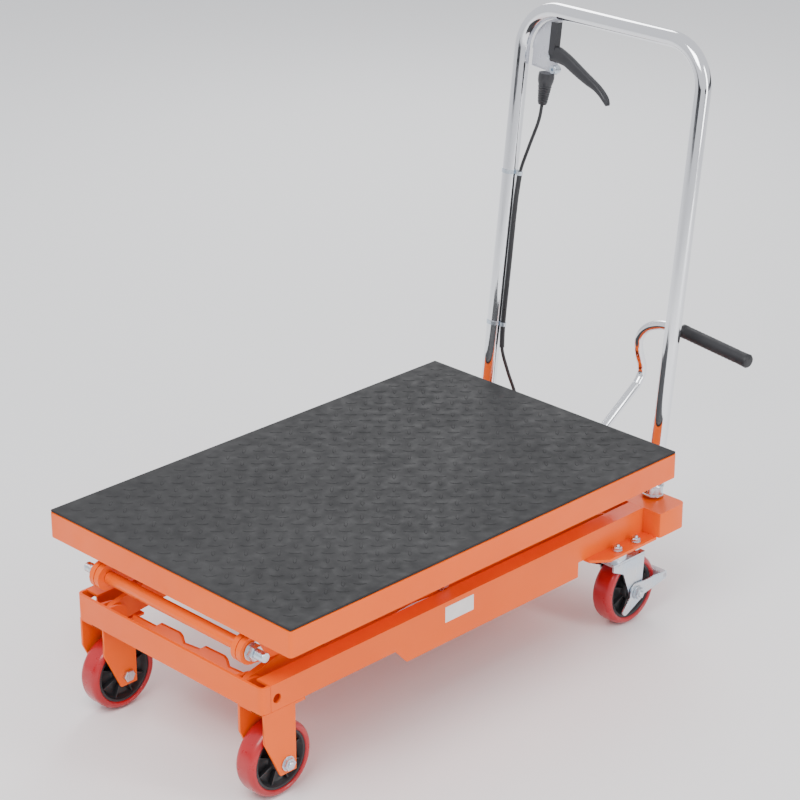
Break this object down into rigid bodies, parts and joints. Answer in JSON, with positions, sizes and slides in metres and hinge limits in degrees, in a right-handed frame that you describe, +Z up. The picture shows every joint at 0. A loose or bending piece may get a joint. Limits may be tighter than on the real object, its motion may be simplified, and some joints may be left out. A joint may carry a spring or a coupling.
{
  "type": "scissor lift table",
  "caption": "Mobile hydraulic lift table: flat deck on a double scissor, two fixed and two swivel casters, push handle, foot pump pedal and hand release.",
  "frame": {"origin": "bottom centre of the whole table's box, on the floor, with the deck fully lowered", "axes": "+X towards the push handle and pedal end, +Y towards the side of the release lever, +Z up"},
  "size_m": [0.848, 0.47, 0.7939],
  "materials": {
    "orange_paint": "smooth bright orange powder coat with a slight gloss",
    "deck_mat": "charcoal rubber with fine raised dashes",
    "red_tyre": "dark red polyurethane, smooth and slightly glossy",
    "hub_plastic": "black moulded nylon",
    "zinc": "bright zinc plate, lightly brushed",
    "chrome": "polished chrome plate",
    "black_plastic": "black moulded plastic",
    "grip_rubber": "black moulded rubber",
    "cable_sheath": "black plastic cable sleeve",
    "black_paint": "black enamel",
    "ground_steel": "ground steel with an oil film",
    "grey_bracket": "pale grey pressed bracket, satin"
  },
  "bodies": {
    "base": {"side_channel_left": "orange_paint", "side_channel_right": "orange_paint", "front_plate": "orange_paint", "front_cross_plate": "orange_paint", "rear_cross_member": "orange_paint", "pump_mount_plate": "orange_paint", "front_fork_left": "orange_paint", "front_fork_right": "orange_paint", "front_axle_left": "zinc", "front_axle_right": "zinc", "caster_top_plate_left": "zinc", "caster_top_plate_right": "zinc", "pump_body": "black_paint", "handle_tube": "chrome", "handle_collar_left": "chrome", "handle_collar_right": "chrome", "lever_bracket": "grey_bracket", "cable_boot": "black_plastic", "release_cable": "cable_sheath"},
    "lower_inner_arms": {"lower_inner_arm_left": "orange_paint", "lower_inner_arm_right": "orange_paint", "lift_tube": "orange_paint", "rear_mid_shaft": "zinc"},
    "lower_outer_arms": {"lower_outer_arm_left": "orange_paint", "lower_outer_arm_right": "orange_paint", "front_mid_shaft": "zinc"},
    "upper_outer_arms": {"upper_outer_arm_left": "orange_paint", "upper_outer_arm_right": "orange_paint", "upper_centre_shaft": "zinc"},
    "upper_inner_arms": {"upper_inner_arm_left": "orange_paint", "upper_inner_arm_right": "orange_paint"},
    "deck": {"deck_pan": "orange_paint", "deck_mat": "deck_mat", "deck_rail_left": "orange_paint", "deck_rail_right": "orange_paint"},
    "cylinder": {"cylinder_barrel": "black_paint"},
    "piston_rod": {"cylinder_rod": "ground_steel"},
    "pedal": {"pedal_lever": "chrome", "pedal_grip": "grip_rubber"},
    "plunger": {"pump_plunger": "ground_steel"},
    "release": {"release_lever": "black_plastic"},
    "valve": {"valve_lever": "zinc"},
    "base_roller_left": {"base_roller_left": "ground_steel"},
    "deck_roller_left": {"deck_roller_left": "ground_steel"},
    "front_wheel_left": {"front_tyre_left": "red_tyre", "front_hub_left": "hub_plastic"},
    "swivel_left": {"caster_fork_left": "zinc", "rear_axle_left": "zinc"},
    "rear_wheel_left": {"rear_tyre_left": "red_tyre", "rear_hub_left": "hub_plastic"},
    "brake_left": {"brake_lever_left": "zinc"},
    "base_roller_right": {"base_roller_right": "ground_steel"},
    "deck_roller_right": {"deck_roller_right": "ground_steel"},
    "front_wheel_right": {"front_tyre_right": "red_tyre", "front_hub_right": "hub_plastic"},
    "swivel_right": {"caster_fork_right": "zinc", "rear_axle_right": "zinc"},
    "rear_wheel_right": {"rear_tyre_right": "red_tyre", "rear_hub_right": "hub_plastic"},
    "brake_right": {"brake_lever_right": "zinc"}
  },
  "joints": [
    {"name": "lift", "type": "hinge", "parent": "base", "child": "lower_inner_arms", "pos_m": [-0.389, 0.01, 0.1464], "axis": [0, -1, 0], "range_deg": [0, 42.6]},
    {"name": "lower_centre", "type": "hinge", "parent": "lower_inner_arms", "child": "lower_outer_arms", "pos_m": [-0.076, 0.01, 0.17626], "axis": [0, 1, 0], "range_deg": [0, 85.3]},
    {"name": "rear_mid", "type": "hinge", "parent": "lower_inner_arms", "child": "upper_outer_arms", "pos_m": [0.2465, 0.01, 0.20083], "axis": [0, 1, 0], "range_deg": [0, 85.3]},
    {"name": "deck_pivot", "type": "hinge", "parent": "upper_outer_arms", "child": "deck", "pos_m": [-0.38991, 0.01, 0.2433], "axis": [0, -1, 0], "range_deg": [0, 42.7]},
    {"name": "upper_centre", "type": "hinge", "parent": "upper_outer_arms", "child": "upper_inner_arms", "pos_m": [-0.076, 0.01, 0.2254], "axis": [0, -1, 0], "range_deg": [0, 85.3]},
    {"name": "cylinder_tilt", "type": "hinge", "parent": "base", "child": "cylinder", "pos_m": [0.139, 0.01, 0.132], "axis": [0, 1, 0], "range_deg": [0, 13.53]},
    {"name": "piston_stroke", "type": "slide", "parent": "cylinder", "child": "piston_rod", "axis": [-0.9945, 0, 0.1047], "range_m": [0, 0.0846]},
    {"name": "pedal_stroke", "type": "hinge", "parent": "base", "child": "pedal", "pos_m": [0.269, -0.045, 0.185], "axis": [0, 1, 0], "range_deg": [0, 20], "stiffness_Nm_per_rad": 2, "springref_deg": -34.38},
    {"name": "plunger_stroke", "type": "slide", "parent": "base", "child": "plunger", "axis": [-1, 0, 0], "range_m": [0, 0.0119]},
    {"name": "release_squeeze", "type": "hinge", "parent": "base", "child": "release", "pos_m": [0.39098, 0.1085, 0.72186], "axis": [-0.9926, 0, 0.1214], "range_deg": [0, 15], "stiffness_Nm_per_rad": 0.4, "springref_deg": -28.65},
    {"name": "valve_turn", "type": "hinge", "parent": "base", "child": "valve", "pos_m": [0.209, -0.035, 0.1705], "axis": [0, 0, -1], "range_deg": [0, 30.5]},
    {"name": "base_roller_left_spin", "type": "hinge", "parent": "lower_outer_arms", "child": "base_roller_left", "pos_m": [0.237, -0.151, 0.1464], "axis": [0, 1, 0], "continuous": true},
    {"name": "deck_roller_left_spin", "type": "hinge", "parent": "upper_inner_arms", "child": "deck_roller_left", "pos_m": [0.23791, -0.1055, 0.2433], "axis": [0, 1, 0], "continuous": true},
    {"name": "front_wheel_left_spin", "type": "hinge", "parent": "base", "child": "front_wheel_left", "pos_m": [-0.374, -0.139, 0.05], "axis": [0, 1, 0], "continuous": true},
    {"name": "swivel_left_turn", "type": "hinge", "parent": "base", "child": "swivel_left", "pos_m": [0.235, -0.154, 0.1225], "axis": [0, 0, 1], "continuous": true},
    {"name": "rear_wheel_left_spin", "type": "hinge", "parent": "swivel_left", "child": "rear_wheel_left", "pos_m": [0.262, -0.154, 0.05], "axis": [0, 1, 0], "continuous": true},
    {"name": "brake_left_press", "type": "hinge", "parent": "swivel_left", "child": "brake_left", "pos_m": [0.262, -0.154, 0.05], "axis": [0, 1, 0], "range_deg": [0, 12]},
    {"name": "base_roller_right_spin", "type": "hinge", "parent": "lower_outer_arms", "child": "base_roller_right", "pos_m": [0.237, 0.171, 0.1464], "axis": [0, 1, 0], "continuous": true},
    {"name": "deck_roller_right_spin", "type": "hinge", "parent": "upper_inner_arms", "child": "deck_roller_right", "pos_m": [0.23791, 0.1255, 0.2433], "axis": [0, 1, 0], "continuous": true},
    {"name": "front_wheel_right_spin", "type": "hinge", "parent": "base", "child": "front_wheel_right", "pos_m": [-0.374, 0.159, 0.05], "axis": [0, 1, 0], "continuous": true},
    {"name": "swivel_right_turn", "type": "hinge", "parent": "base", "child": "swivel_right", "pos_m": [0.235, 0.174, 0.1225], "axis": [0, 0, 1], "continuous": true},
    {"name": "rear_wheel_right_spin", "type": "hinge", "parent": "swivel_right", "child": "rear_wheel_right", "pos_m": [0.262, 0.174, 0.05], "axis": [0, 1, 0], "continuous": true},
    {"name": "brake_right_press", "type": "hinge", "parent": "swivel_right", "child": "brake_right", "pos_m": [0.262, 0.174, 0.05], "axis": [0, 1, 0], "range_deg": [0, 12]}
  ],
  "couplings": [
    {"joint": "lower_centre", "follows": "lift", "ratio": 2},
    {"joint": "rear_mid", "follows": "lift", "ratio": 2},
    {"joint": "deck_pivot", "follows": "lift", "ratio": 1},
    {"joint": "upper_centre", "follows": "lift", "ratio": 2},
    {"joint": "cylinder_tilt", "follows": "lift", "ratio": 0.31639},
    {"joint": "piston_stroke", "follows": "lift", "m_per_rad": 0.11346},
    {"joint": "plunger_stroke", "follows": "pedal_stroke", "m_per_rad": 0.0335},
    {"joint": "valve_turn", "follows": "release_squeeze", "ratio": 2}
  ]
}
